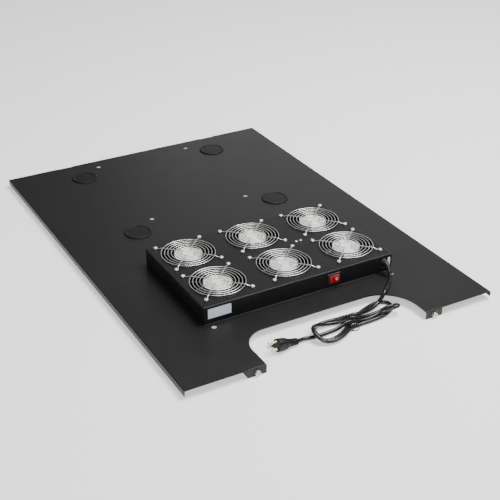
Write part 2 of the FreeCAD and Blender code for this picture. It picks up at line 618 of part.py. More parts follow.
def main():
    os.makedirs("parts", exist_ok=True)
    n = OUT
    n["roof_panel"] = roof_panel()
    n["tray_housing"] = tray_housing()

    frame, imp, shaft, guard = fan_frame(), fan_impeller(), fan_shaft(), finger_guard()
    stator, sleeves = fan_stator(), fan_bearings()
    gscrew = pan_head(0, 0, TRAY_TOP + 2.2, 4.1, 2.4, 2.0, FAN_DEPTH + 8.2)
    gnut = hex_nut(7.0, 3.2, 2.05)
    labels, stators, bearings, screws, nuts = [], [], [], [], []
    k = 0
    for y in FAN_Y:
        for x in FAN_X:
            k += 1
            at = V(x, y, 0)

            def put(s):
                c = s.copy()
                c.translate(at)
                return c
            n["fan_frame_%d" % k] = put(frame)
            n["fan_impeller_%d" % k] = put(imp)
            n["fan_shaft_%d" % k] = put(shaft)
            n["finger_guard_%d" % k] = put(guard)
            labels.append(put(cyl(30.0, HUB_TOP, HUB_TOP + LABEL_T)))
            stators.append(put(stator))
            bearings += [put(q) for q in sleeves]
            for sx in (-1, 1):
                for sy in (-1, 1):
                    c = gscrew.copy()
                    c.translate(V(x + sx * FAN_HOLE, y + sy * FAN_HOLE, 0))
                    screws.append(c)
                    c = gnut.copy()
                    c.translate(V(x + sx * FAN_HOLE, y + sy * FAN_HOLE, FAN_BOT - 3.2))
                    nuts.append(c)
    n["fan_hub_labels"] = group(labels)
    n["fan_stators"] = group(stators)
    n["fan_bearings"] = group(bearings)
    n["guard_screws"] = group(screws)
    n["guard_nuts"] = group(nuts)

    n["switch_housing"] = switch_housing()
    n["switch_rocker"] = switch_rocker()
    n["switch_terminals"] = switch_terminals()
    n["rating_label"] = box(-215.4, -163.4, TRAY_Y0 - 0.25, TRAY_Y0, 29.5, 51.5)
    n["inspection_sticker"] = box(214.2, 220.6, TRAY_Y0 - 0.25, TRAY_Y0, 28.5, 50.0)
    n["strain_relief"] = strain_relief()

    # mains lead
    n["power_cord_lead"] = tube(LEAD_ROUTE, CORD_R, "power_cord_lead")
    n["cord_tail"] = tube(TAIL_ROUTE, CORD_R, "cord_tail")
    n["cord_hank"] = hank_shape()
    n["cord_tie"] = tie_shape()
    n["plug_body"] = plug_body()
    n["plug_blade_line"] = plug_blade(1)
    n["plug_blade_neutral"] = plug_blade(-1)
    n["plug_ground_pin"] = plug_ground()

    cap = hole_plug()
    for i, (x, y) in enumerate(KNOCKOUTS):
        c = cap.copy()
        c.translate(V(x, y, 0))
        n["hole_plug_%d" % (i + 1)] = c

    n["tab_screws"], n["tab_washers"], n["tab_nuts"] = tab_hardware()

    ms, mn = [], []
    mscrew = pan_head(0, 0, PANEL_TOP + SHEET, 3.8, 2.4, 1.95, 7.5)
    mnut = hex_nut(7.0, 3.2, 2.0)
    for x, y in TRAY_SCREWS_F + TRAY_SCREWS_R:
        c = mscrew.copy()
        c.translate(V(x, y, 0))
        ms.append(c)
        c = mnut.copy()
        c.translate(V(x, y, PANEL_TOP - SHEET - 3.2))
        mn.append(c)
    n["tray_mounting_screws"] = group(ms)
    n["tray_mounting_nuts"] = group(mn)

    # terminal block hung under the tray's top
    tb = box(66.5, 92.0, -198.5, -179.5, TRAY_TOP - SHEET - 14.0, TRAY_TOP - SHEET)
    for i in range(3):
        xw = 70.5 + 8.7 * i
        tb = tb.cut(box(xw - 2.4, xw + 2.4, -200, -178, TRAY_TOP - SHEET - 11.2, TRAY_TOP - SHEET - 6.0))
    for x, y in TERM_SCREWS:
        tb = tb.cut(cyl(1.5, TRAY_TOP - 6.5, TRAY_TOP + 1, x, y))
    n["terminal_block"] = clean(tb)
    n["terminal_block_screws"] = group(
        [pan_head(x, y, TRAY_TOP, 2.9, 1.9, 1.45, 6.0) for x, y in TERM_SCREWS])

    # inside wires: gland to switch along the front gap, switch to terminal
    # block, and short leads that end on the fans' shrouds
    wires = []
    zt_, zb_ = SW_CZ + 4.5, SW_CZ - 4.5
    ye = TRAY_Y0 + 32.0
    wires.append(tube([(GLAND_X - 1.6, TRAY_Y0 + 8.2, GLAND_Z), (197.0, -323.0, 38.0), (180.0, -322.5, 31.0),
                       (150.0, -322.0, 28.5), (115.0, -322.6, 29.5), (98.0, -319.8, 33.0), (95.0, -306.0, 37.0),
                       (94.0, -295.0, 40.5), (89.0, -289.5, zt_ + 0.4), (SW_CX + 9.0, -294.5, zt_),
                       (SW_CX + 9.0, ye, zt_)], 1.3, "wire_a"))
    wires.append(tube([(GLAND_X + 1.8, TRAY_Y0 + 8.2, GLAND_Z), (199.0, -322.0, 33.0), (182.0, -321.5, 25.0),
                       (150.0, -321.0, 24.0), (115.0, -321.6, 23.6), (98.0, -319.4, 24.5), (95.2, -305.0, 27.5),
                       (94.2, -294.0, 31.0), (89.0, -288.8, zb_), (SW_CX + 9.0, -294.0, zb_),
                       (SW_CX + 9.0, ye, zb_)], 1.3, "wire_b"))
    xb = [70.5, 79.2, 87.9]
    zb2 = TRAY_TOP - SHEET - 8.5
    wires.append(tube([(SW_CX - 9.0, ye, zt_), (SW_CX - 9.0, -292.0, zt_ - 0.3), (71.0, -275.0, 39.0), (76.0, -250.0, 36.0),
                       (78.5, -226.0, 38.5), (xb[1], -207.0, 45.0), (xb[1], -196.0, zb2)], 1.3, "wire_c"))
    wires.append(tube([(SW_CX - 9.0, ye, zb_), (SW_CX - 9.0, -292.0, zb_ - 0.3), (72.5, -275.0, 31.0), (81.0, -250.0, 30.0),
                       (87.0, -226.0, 35.0), (xb[2], -207.0, 44.0), (xb[2], -196.0, zb2)], 1.3, "wire_d"))

    # leads to the fans: three from the terminal block, three jumpers
    def at_fan(i, j, deg, out, z):
        a = math.radians(deg)
        return (FAN_X[i] + (59.9 + out) * math.cos(a), FAN_Y[j] + (59.9 + out) * math.sin(a), z)
    wires.append(tube([(xb[0], -182.0, zb2), (xb[0] - 0.3, -172.0, 45.0), (68.0, -160.0, 38.5),
                       at_fan(1, 1, -25, 8.0, 34.6), at_fan(1, 1, -25, 0.0, 34.0)], 1.2, "lead_5"))
    wires.append(tube([(xb[2], -182.0, zb2), (xb[2] + 0.4, -172.0, 45.0), (92.0, -160.0, 38.5),
                       at_fan(2, 1, 205, 8.0, 34.6), at_fan(2, 1, 205, 0.0, 34.0)], 1.2, "lead_6"))
    wires.append(tube([(xb[0], -195.0, zb2), (xb[0] - 0.3, -205.0, 45.0), (68.0, -216.0, 38.5),
                       at_fan(1, 0, 25, 8.0, 34.6), at_fan(1, 0, 25, 0.0, 34.0)], 1.2, "lead_2"))
    wires.append(tube([at_fan(2, 1, 235, 0.0, 34.0), at_fan(2, 1, 235, 8.0, 35.0), (119.0, -188.2, 36.5),
                       at_fan(2, 0, 125, 8.0, 35.0), at_fan(2, 0, 125, 0.0, 34.0)], 1.2, "lead_3"))
    wires.append(tube([at_fan(1, 0, 155, 0.0, 34.0), at_fan(1, 0, 155, 8.0, 35.0), (-75.5, -223.8, 36.5),
                       at_fan(0, 0, 25, 8.0, 35.0), at_fan(0, 0, 25, 0.0, 34.0)], 1.2, "lead_1"))
    wires.append(tube([at_fan(1, 1, 205, 0.0, 34.0), at_fan(1, 1, 205, 8.0, 35.0), (-75.5, -152.6, 36.5),
                       at_fan(0, 1, -25, 8.0, 35.0), at_fan(0, 1, -25, 0.0, 34.0)], 1.2, "lead_4"))
    n["wiring_harness"] = group(wires)

    for name in sorted(n):
        n[name].exportStep("parts/%s.step" % name)
        s = n[name]
        bb = s.BoundBox
        print("%-24s %2d solids valid=%s vol %.0f  x %.1f..%.1f y %.1f..%.1f z %.2f..%.2f" % (
            name, len(s.Solids), s.isValid(), s.Volume, bb.XMin, bb.XMax, bb.YMin, bb.YMax, bb.ZMin, bb.ZMax))
    print(len(n), "nodes")


main()
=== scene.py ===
import math

import bmesh
import bpy
from mathutils import Matrix, Vector


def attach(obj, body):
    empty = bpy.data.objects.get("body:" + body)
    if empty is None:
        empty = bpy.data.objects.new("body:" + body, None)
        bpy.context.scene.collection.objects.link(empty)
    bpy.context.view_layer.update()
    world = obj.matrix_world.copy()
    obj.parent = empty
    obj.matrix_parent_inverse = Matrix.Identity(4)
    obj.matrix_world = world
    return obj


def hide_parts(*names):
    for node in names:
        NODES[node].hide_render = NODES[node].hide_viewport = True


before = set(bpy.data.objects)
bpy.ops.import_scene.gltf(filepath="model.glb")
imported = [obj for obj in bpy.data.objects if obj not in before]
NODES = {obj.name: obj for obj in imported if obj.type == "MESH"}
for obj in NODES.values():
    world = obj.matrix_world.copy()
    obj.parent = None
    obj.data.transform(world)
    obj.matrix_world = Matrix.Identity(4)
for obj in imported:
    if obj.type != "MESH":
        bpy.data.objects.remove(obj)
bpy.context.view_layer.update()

MM = 0.001
SCENE = bpy.context.scene

# ---------------------------------------------------------------- dimensions
TRAY_TOP = 57.5
SHEET = 1.2
PANEL_TOP = 18.0
FRONT_CX = 2.5
FAN_X = [FRONT_CX - 156.0, FRONT_CX, FRONT_CX + 156.0]
FAN_Y = [-256.05, -120.35]
FANS = [(x, y) for y in FAN_Y for x in FAN_X]
HUB_TOP = TRAY_TOP - 2.2
CORD_D = 8.4


# ------------------------------------------------------------------- camera
cam_data = bpy.data.cameras.new("camera")
cam = bpy.data.objects.new("camera", cam_data)
SCENE.collection.objects.link(cam)
cam_data.sensor_width = 36.0
cam_data.lens = 75.2417
cam_data.clip_start = 0.05
cam_data.clip_end = 50.0
rot = Matrix(((0.874720717, 0.237720848, -0.422317967),
              (-0.484616712, 0.423287902, -0.765489382),
              (-0.003210699, 0.874251766, 0.485462193)))
cam.matrix_world = Matrix.Translation((-0.977337, -1.885969, 1.144288)) @ rot.to_4x4()
SCENE.camera = cam


# ---------------------------------------------------------------- materials
def nodes_of(name):
    m = bpy.data.materials.new(name)
    m.use_nodes = True
    nt = m.node_tree
    b = nt.nodes["Principled BSDF"]
    return m, nt, b


def add(nt, kind, **kw):
    n = nt.nodes.new(kind)
    for k, v in kw.items():
        if k == "inputs":
            for kk, vv in v.items():
                n.inputs[kk].default_value = vv
        else:
            setattr(n, k, v)
    return n


def finish_mat(name, dark, light, rough=(0.4, 0.55), metal=0.0, spec=0.5, scale=60.0,
               bump=0.08, bump_scale=700.0, bump_dist=0.0004, coat=0.0, coat_rough=0.1,
               stretch=(1, 1, 1), speck=0.0, speck_scale=900.0, sheen=0.0, ior=1.5):
    """Procedural finish: broad tone drift, fine tooth and uneven gloss."""
    m, nt, b = nodes_of(name)
    tc = add(nt, "ShaderNodeTexCoord")
    mp = add(nt, "ShaderNodeMapping")
    mp.inputs["Scale"].default_value = stretch
    nt.links.new(tc.outputs["Object"], mp.inputs["Vector"])
    n1 = add(nt, "ShaderNodeTexNoise", inputs={"Scale": scale, "Detail": 4.0, "Roughness": 0.55})
    nt.links.new(mp.outputs["Vector"], n1.inputs["Vector"])
    ramp = add(nt, "ShaderNodeValToRGB")
    ramp.color_ramp.elements[0].position = 0.32
    ramp.color_ramp.elements[0].color = (*dark, 1)
    ramp.color_ramp.elements[1].position = 0.7
    ramp.color_ramp.elements[1].color = (*light, 1)
    nt.links.new(n1.outputs["Fac"], ramp.inputs["Fac"])
    colour = ramp.outputs["Color"]
    if speck > 0:
        n3 = add(nt, "ShaderNodeTexNoise", inputs={"Scale": speck_scale, "Detail": 2.0, "Roughness": 0.6})
        nt.links.new(mp.outputs["Vector"], n3.inputs["Vector"])
        r3 = add(nt, "ShaderNodeValToRGB")
        r3.color_ramp.elements[0].position = 0.35
        r3.color_ramp.elements[0].color = (1 - speck, 1 - speck, 1 - speck, 1)
        r3.color_ramp.elements[1].position = 0.68
        r3.color_ramp.elements[1].color = (1, 1, 1, 1)
        nt.links.new(n3.outputs["Fac"], r3.inputs["Fac"])
        mix = add(nt, "ShaderNodeMixRGB", blend_type="MULTIPLY", inputs={"Fac": 1.0})
        nt.links.new(colour, mix.inputs["Color1"])
        nt.links.new(r3.outputs["Color"], mix.inputs["Color2"])
        colour = mix.outputs["Color"]
    nt.links.new(colour, b.inputs["Base Color"])
    n2 = add(nt, "ShaderNodeTexNoise", inputs={"Scale": bump_scale, "Detail": 3.0, "Roughness": 0.5})
    nt.links.new(mp.outputs["Vector"], n2.inputs["Vector"])
    mr = add(nt, "ShaderNodeMapRange", inputs={"From Min": 0.3, "From Max": 0.7, "To Min": rough[0], "To Max": rough[1]})
    nt.links.new(n1.outputs["Fac"], mr.inputs["Value"])
    nt.links.new(mr.outputs["Result"], b.inputs["Roughness"])
    bp = add(nt, "ShaderNodeBump", inputs={"Strength": bump, "Distance": bump_dist})
    nt.links.new(n2.outputs["Fac"], bp.inputs["Height"])
    nt.links.new(bp.outputs["Normal"], b.inputs["Normal"])
    b.inputs["Metallic"].default_value = metal
    b.inputs["Specular IOR Level"].default_value = spec
    b.inputs["IOR"].default_value = ior
    b.inputs["Coat Weight"].default_value = coat
    b.inputs["Coat Roughness"].default_value = coat_rough
    if sheen > 0:
        b.inputs["Sheen Weight"].default_value = sheen
    return m


PANEL = finish_mat("panel_powder_coat", (0.0112, 0.0112, 0.0106), (0.0128, 0.0128, 0.0122), rough=(0.38, 0.43),
                   spec=0.32, scale=14.0, bump=0.16, bump_scale=900.0, bump_dist=0.0002, speck=0.18, speck_scale=1300.0)
TRAY = finish_mat("tray_powder_coat", (0.0080, 0.0080, 0.0083), (0.0100, 0.0100, 0.0104), rough=(0.34, 0.40),
                  spec=0.28, scale=20.0, bump=0.16, bump_scale=900.0, bump_dist=0.0002, speck=0.18, speck_scale=1300.0)
CASTING = finish_mat("fan_casting_black", (0.005, 0.005, 0.005), (0.009, 0.009, 0.009), rough=(0.5, 0.62),
                     spec=0.2, scale=60.0, bump=0.3, bump_scale=1200.0, bump_dist=0.0002)
FAN_PLASTIC = finish_mat("fan_blade_plastic", (0.0035, 0.0035, 0.0035), (0.006, 0.006, 0.006), rough=(0.5, 0.62),
                         spec=0.16, scale=50.0, bump=0.15, bump_scale=900.0, bump_dist=0.0002)
WIRE = finish_mat("bright_plated_wire", (0.74, 0.74, 0.72), (0.88, 0.88, 0.86), rough=(0.26, 0.34),
                  metal=0.85, scale=90.0, bump=0.06, bump_scale=1500.0, bump_dist=0.0001)
NICKEL = finish_mat("nickel_plate", (0.84, 0.83, 0.76), (0.95, 0.94, 0.87), rough=(0.22, 0.3),
                    metal=0.35, scale=200.0, bump=0.1, bump_scale=2500.0, bump_dist=0.0001)
ZINC = finish_mat("zinc_plate", (0.50, 0.49, 0.40), (0.70, 0.69, 0.58), rough=(0.18, 0.3),
                  metal=1.0, scale=250.0, bump=0.15, bump_scale=2500.0, bump_dist=0.0001)
STEEL = finish_mat("ground_steel", (0.45, 0.45, 0.44), (0.62, 0.62, 0.61), rough=(0.2, 0.35),
                   metal=1.0, scale=200.0, bump=0.1, bump_scale=2000.0, bump_dist=0.0001, stretch=(1, 1, 0.1))
IRON = finish_mat("stator_iron", (0.10, 0.09, 0.085), (0.22, 0.20, 0.19), rough=(0.4, 0.6),
                  metal=0.8, scale=150.0, bump=0.6, bump_scale=900.0, bump_dist=0.0003, stretch=(0.2, 0.2, 8))
BRONZE = finish_mat("sintered_bronze", (0.28, 0.17, 0.07), (0.42, 0.28, 0.12), rough=(0.45, 0.6),
                    metal=0.9, scale=400.0, bump=0.3, bump_scale=3000.0, bump_dist=0.0001)
HUB_LABEL = finish_mat("hub_label_film", (0.78, 0.78, 0.76), (0.90, 0.90, 0.88), rough=(0.28, 0.36),
                       metal=0.0, spec=0.5, scale=70.0, bump=0.05, bump_scale=400.0, bump_dist=0.0001)
RATING = finish_mat("rating_label_film", (0.62, 0.69, 0.77), (0.72, 0.79, 0.87), rough=(0.3, 0.42),
                    spec=0.5, scale=120.0, bump=0.05, bump_scale=900.0, bump_dist=0.0001)
STICKER = finish_mat("sticker_paper", (0.80, 0.81, 0.82), (0.92, 0.92, 0.93), rough=(0.4, 0.55),
                     spec=0.5, scale=200.0, bump=0.05, bump_scale=1500.0, bump_dist=0.0001)
SWITCH_BLACK = finish_mat("switch_black_nylon", (0.008, 0.008, 0.008), (0.014, 0.014, 0.014), rough=(0.3, 0.42),
                          spec=0.5, scale=150.0, bump=0.1, bump_scale=2500.0, bump_dist=0.0001)
ROCKER_RED = finish_mat("rocker_red", (0.27, 0.003, 0.005), (0.38, 0.006, 0.008), rough=(0.24, 0.32),
                        spec=0.4, scale=120.0, bump=0.03, bump_scale=1500.0, bump_dist=0.0001)
MARK_WHITE = finish_mat("rocker_marks", (0.80, 0.74, 0.72), (0.92, 0.88, 0.86), rough=(0.3, 0.45),
                        spec=0.5, scale=400.0, bump=0.05, bump_scale=2000.0, bump_dist=0.0001)
BRASS = finish_mat("plug_blades", (0.62, 0.56, 0.40), (0.80, 0.74, 0.56), rough=(0.16, 0.28),
                   metal=1.0, scale=250.0, bump=0.08, bump_scale=2500.0, bump_dist=0.0001)
GLAND = finish_mat("gland_nylon", (0.011, 0.011, 0.012), (0.020, 0.020, 0.022), rough=(0.3, 0.42),
                   spec=0.5, scale=200.0, bump=0.12, bump_scale=2500.0, bump_dist=0.0001)
JACKET = finish_mat("cord_jacket", (0.006, 0.006, 0.0065), (0.009, 0.009, 0.0095), rough=(0.25, 0.29),
                    spec=0.5, scale=60.0, bump=0.04, bump_scale=900.0, bump_dist=0.0001)
PLUG = finish_mat("plug_vinyl", (0.005, 0.005, 0.0055), (0.008, 0.008, 0.0085), rough=(0.42, 0.52),
                  spec=0.26, scale=150.0, bump=0.18, bump_scale=2200.0, bump_dist=0.0002)
TIE = finish_mat("tie_coating", (0.004, 0.004, 0.004), (0.007, 0.007, 0.007), rough=(0.5, 0.6),
                 spec=0.25, scale=300.0, bump=0.1, bump_scale=2500.0, bump_dist=0.0001)
CAP = finish_mat("hole_plug_nylon", (0.0045, 0.0045, 0.0045), (0.008, 0.008, 0.008), rough=(0.42, 0.55),
                 spec=0.26, scale=80.0, bump=0.2, bump_scale=1500.0, bump_dist=0.0002)
NYLON = finish_mat("terminal_nylon", (0.62, 0.62, 0.56), (0.75, 0.75, 0.70), rough=(0.4, 0.5),
                   spec=0.5, scale=150.0, bump=0.1, bump_scale=1500.0, bump_dist=0.0001)
HARNESS = finish_mat("wire_insulation", (0.012, 0.012, 0.013), (0.03, 0.03, 0.032), rough=(0.35, 0.45),
                     spec=0.5, scale=200.0, bump=0.1, bump_scale=1500.0, bump_dist=0.0001)


# ------------------------------------------------------------- mesh helpers
def link(name, data, mat, body, smooth=True):
    o = bpy.data.objects.new(name, data)
    SCENE.collection.objects.link(o)
    if mat is not None:
        if len(o.data.materials) == 0:
            o.data.materials.append(mat)
    if smooth and isinstance(data, bpy.types.Mesh):
        for p in data.polygons:
            p.use_smooth = True
    if body:
        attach(o, body)
    return o


def mesh_of(bm, name, recalc=True):
    if recalc:
        bmesh.ops.recalc_face_normals(bm, faces=bm.faces)
    me = bpy.data.meshes.new(name)
    bm.to_mesh(me)
    bm.free()
    return me


def sharp(me, angle=35.0):
    """Smooth faces with sharp edges where the surface turns hard."""
    bm = bmesh.new()
    bm.from_mesh(me)
    lim = math.radians(angle)
    for e in bm.edges:
        e.smooth = not (len(e.link_faces) == 2 and e.calc_face_angle(0.0) > lim)
    for f in bm.faces:
        f.smooth = True
    bm.to_mesh(me)
    bm.free()
    return me


def sweep(bm, path, section, closed=False, cap=True, up=None, scale=None):
    """Sweep a section (list of (a, b) in the frame's two axes) along path
    points with a parallel-transported frame.  scale: factor per point."""
    pts = [Vector(p) for p in path]
    n = len(pts)
    tang = []
    for i in range(n):
        if closed:
            t = pts[(i + 1) % n] - pts[i - 1]
        else:
            t = pts[min(i + 1, n - 1)] - pts[max(i - 1, 0)]
        tang.append(t.normalized())
    u = up.copy() if up is not None else Vector((0, 0, 1))
    if abs(u.dot(tang[0])) > 0.95:
        u = Vector((1, 0, 0))
    rings = []
    for i in range(n):
        t = tang[i]
        u = (u - t * u.dot(t)).normalized()
        v = t.cross(u)
        k = 1.0 if scale is None else scale[i]
        rings.append([bm.verts.new(pts[i] + (u * a + v * b) * k) for a, b in section])
    m = len(section)
    last = n if closed else n - 1
    for i in range(last):
        r0, r1 = rings[i], rings[(i + 1) % n]
        for j in range(m):
            bm.faces.new((r0[j], r0[(j + 1) % m], r1[(j + 1) % m], r1[j]))
    if cap and not closed:
        bm.faces.new(rings[0])
        bm.faces.new(list(reversed(rings[-1])))
    return rings


def circle(r, n=10):
    return [(r * math.cos(2 * math.pi * k / n), r * math.sin(2 * math.pi * k / n)) for k in range(n)]


def lathe(bm, profile, origin=(0, 0, 0), n=64):
    """Turn (r, z) points about Z through origin.  r = 0 ends are closed."""
    o = Vector(origin)
    rings = []
    for r, z in profile:
        if r < 1e-9:
            rings.append([bm.verts.new(o + Vector((0, 0, z)))])
        else:
            rings.append([bm.verts.new(o + Vector((r * math.cos(2 * math.pi * k / n), r * math.sin(2 * math.pi * k / n), z)))
                          for k in range(n)])
    for a, b in zip(rings[:-1], rings[1:]):
        for k in range(n):
            k2 = (k + 1) % n
            if len(a) == 1 and len(b) == 1:
                continue
            if len(a) == 1:
                bm.faces.new((a[0], b[k2], b[k]))
            elif len(b) == 1:
                bm.faces.new((a[k], a[k2], b[0]))
            else:
                bm.faces.new((a[k], a[k2], b[k2], b[k]))
    return rings


def mm(points):
    return [tuple(c * MM for c in p) for p in points]


# --------------------------------------------------------------------- cord
ROUTE = [
    # out of the gland, down to the panel, over the edge of the cut-out
    (204.0, -341.0, 42.0), (204.0, -346.6, 41.2), (204.1, -351.8, 35.8), (204.6, -356.2, 28.9),
    (202.8, -361.4, 23.2), (197.0, -367.6, 22.6), (184.5, -381.0, 22.6), (169.5, -396.0, 22.7),
    (155.0, -409.6, 26.0), (143.0, -416.2, 18.0), (133.0, -418.4, 9.2), (121.8, -422.6, 6.8),
    (110.0, -427.0, 5.7), (98.0, -430.8, 6.3),
    # first strand over the hank to the left, outer loop
    (85.8, -434.3, 8.6), (73.1, -437.3, 11.4), (61.0, -437.7, 12.9), (49.3, -436.3, 11.9),
    (37.0, -432.9, 9.6), (22.1, -427.9, 6.9), (6.6, -423.4, 5.1), (-8.6, -422.0, 4.4),
    (-22.2, -425.4, 4.2), (-32.6, -433.2, 4.9), (-39.3, -443.3, 7.9), (-42.1, -452.8, 12.5),
    (-43.4, -461.5, 12.6), (-42.3, -470.0, 8.7), (-37.0, -477.1, 5.3), (-26.8, -480.7, 4.4),
    (-12.5, -480.0, 4.3), (4.6, -474.1, 4.2), (19.3, -465.3, 4.3), (32.5, -456.5, 4.2),
    (45.2, -447.8, 4.2),
    # right lobe
    (58.8, -438.4, 4.2), (74.1, -429.5, 4.3), (91.1, -422.3, 4.3), (108.3, -416.7, 4.3),
    (123.7, -412.7, 4.3), (137.0, -412.2, 4.2), (147.4, -416.0, 4.3), (153.5, -423.4, 4.3),
    (154.5, -432.1, 4.3), (150.9, -440.2, 4.3), (143.3, -447.2, 4.3), (132.5, -453.4, 4.3),
    (118.5, -458.7, 4.2), (102.1, -461.2, 4.4), (85.2, -462.1, 4.3), (68.9, -462.3, 4.3),
    # through the tie, inner loop on the left
    (54.9, -462.0, 4.2), (43.8, -462.6, 4.5), (34.6, -465.7, 5.2), (25.2, -471.4, 6.2),
    (14.8, -477.9, 6.8), (2.9, -483.7, 6.8), (-9.8, -487.7, 6.7), (-22.2, -489.2, 6.9),
    (-33.7, -487.4, 7.7), (-42.3, -482.0, 10.2), (-47.5, -474.4, 14.0), (-49.3, -465.6, 17.4), (-48.4, -456.2, 19.4),
    (-44.3, -447.0, 18.9), (-37.4, -439.7, 15.7), (-29.0, -434.5, 12.9), (-19.0, -431.5, 9.7), (-7.6, -430.4, 6.6),
    (4.5, -431.7, 5.2), (17.0, -435.1, 5.2), (28.1, -438.8, 6.8), (37.5, -442.0, 9.9),
    (45.6, -444.2, 12.6), (54.3, -445.6, 12.6), (63.7, -446.0, 10.1), (74.9, -445.6, 6.6),
    (88.1, -445.1, 4.9), (103.4, -444.2, 4.7), (117.5, -443.6, 6.1), (127.4, -444.7, 9.4),
    (134.6, -446.5, 12.2),
    # tight right-hand tip, back to the tie
    (141.2, -447.6, 12.9), (147.9, -448.2, 13.1), (152.9, -452.7, 15.3), (152.9, -458.9, 18.1),
    (147.9, -463.3, 20.3), (140.9, -463.3, 20.0), (133.6, -461.0, 17.3), (125.7, -456.7, 13.9),
    (115.9, -452.2, 10.2), (102.5, -452.6, 6.0), (87.4, -453.6, 4.7), (72.8, -453.9, 5.0),
    (60.6, -453.8, 6.9), (50.0, -454.1, 10.0), (40.1, -454.1, 12.7), (30.6, -454.0, 12.5),
    # tail under the left loops, to the plug
    (20.2, -454.9, 8.9), (7.6, -455.8, 5.9), (-7.9, -456.3, 4.7), (-23.4, -456.8, 4.4),
    (-37.2, -457.0, 4.2), (-49.1, -455.9, 4.2), (-59.7, -453.5, 4.6), (-69.6, -453.2, 5.5),
    (-79.0, -455.6, 6.9), (-86.0, -456.95, 8.0)]

cu = bpy.data.curves.new("mains_cord", "CURVE")
cu.dimensions = "3D"
sp = cu.splines.new("NURBS")
sp.points.add(len(ROUTE) - 1)
for i, p in enumerate(ROUTE):
    sp.points[i].co = (p[0] * MM, p[1] * MM, p[2] * MM, 1.0)
sp.order_u = 3
sp.use_endpoint_u = True
sp.resolution_u = 10
cu.bevel_depth = CORD_D / 2 * MM
cu.bevel_resolution = 5
cu.use_fill_caps = True
cord = link("mains_cord", cu, JACKET, "tray_assembly")


def cord_points():
    """Points along the cord's own line, in metres."""
    c2 = cu.copy()
    c2.bevel_depth = 0.0
    t = bpy.data.objects.new("cord_line_tmp", c2)
    SCENE.collection.objects.link(t)
    bpy.context.view_layer.update()
    me = bpy.data.meshes.new_from_object(t)
    pts = [v.co.copy() for v in me.vertices]
    bpy.data.objects.remove(t)
    bpy.data.meshes.remove(me)
    bpy.data.curves.remove(c2)
    return pts


LINE = cord_points()


# ------------------------------------------------------------- cable gland
def gland():
    bm = bmesh.new()
    gx, gy, gz = 204.6, -333.0, 42.0
    prof = [(0.0, 2.9), (4.0, 2.9), (6.6, 2.9), (7.6, 2.6), (8.25, 1.9), (8.4, 1.0), (8.4, 0.0),
            (6.5, 0.0), (6.5, -1.2), (7.4, -1.2), (7.4, -7.2), (6.9, -7.4), (4.2, -7.4), (0.0, -7.4)]
    rings = lathe(bm, [(r * MM, z * MM) for r, z in prof], n=48)
    # eight shallow grip flats round the flange
    for v in bm.verts:
        r = math.hypot(v.co.x, v.co.y)
        if r > 7.5 * MM and v.co.z > 0.0:
            a = math.atan2(v.co.y, v.co.x)
            k = 1.0 - 0.045 * (0.5 + 0.5 * math.cos(8 * a))
            v.co.x *= k
            v.co.y *= k
    m = Matrix.Translation((gx * MM, gy * MM, gz * MM)) @ Matrix.Rotation(math.radians(90), 4, "X")
    bmesh.ops.transform(bm, matrix=m, verts=bm.verts)
    # flexible boot that follows the lead, ringed and tapering
    pts, run = [Vector((204.3 * MM, -334.5 * MM, 42.0 * MM)), Vector((204.1 * MM, -338.0 * MM, 42.0 * MM))], 0.0
    for i, p in enumerate(LINE):
        if i:
            run += (p - LINE[i - 1]).length
        if run > 0.0145:
            break
        pts.append(p.copy())
    total = sum((b - a).length for a, b in zip(pts[:-1], pts[1:]))
    # resample evenly
    fine, want, acc, i = [], 0.0, 0.0, 0
    steps = 42
    for k in range(steps + 1):
        d = total * k / steps
        while i < len(pts) - 2 and acc + (pts[i + 1] - pts[i]).length < d:
            acc += (pts[i + 1] - pts[i]).length
            i += 1
        seg = (pts[i + 1] - pts[i]).length
        fine.append(pts[i].lerp(pts[i + 1], (d - acc) / seg))
    scale = []
    for k in range(len(fine)):
        t = k / (len(fine) - 1)
        r = 6.8 * (1 - t) + 4.95 * t
        if 0.18 < t < 0.97 and (k % 6) in (0, 1):
            r -= 0.4
        scale.append(r)
    sweep(bm, fine, circle(1.0 * MM, 28), cap=True, scale=scale)
    me = sharp(mesh_of(bm, "cable_gland"), 40)
    o = link("cable_gland", me, GLAND, "tray_assembly", smooth=False)
    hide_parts("strain_relief")
    return o


gland_obj = gland()


# --------------------------------------------------------------------- tie
def crossings(x):
    """Where the cord's line passes the plane of this x within the hank."""
    out = []
    for p, q in zip(LINE[:-1], LINE[1:]):
        if (p.x - x) * (q.x - x) <= 0 and p.x != q.x and -0.475 < p.y < -0.42:
            t = (x - p.x) / (q.x - p.x)
            out.append(((p.y + (q.y - p.y) * t) / MM, (p.z + (q.z - p.z) * t) / MM))
    return out


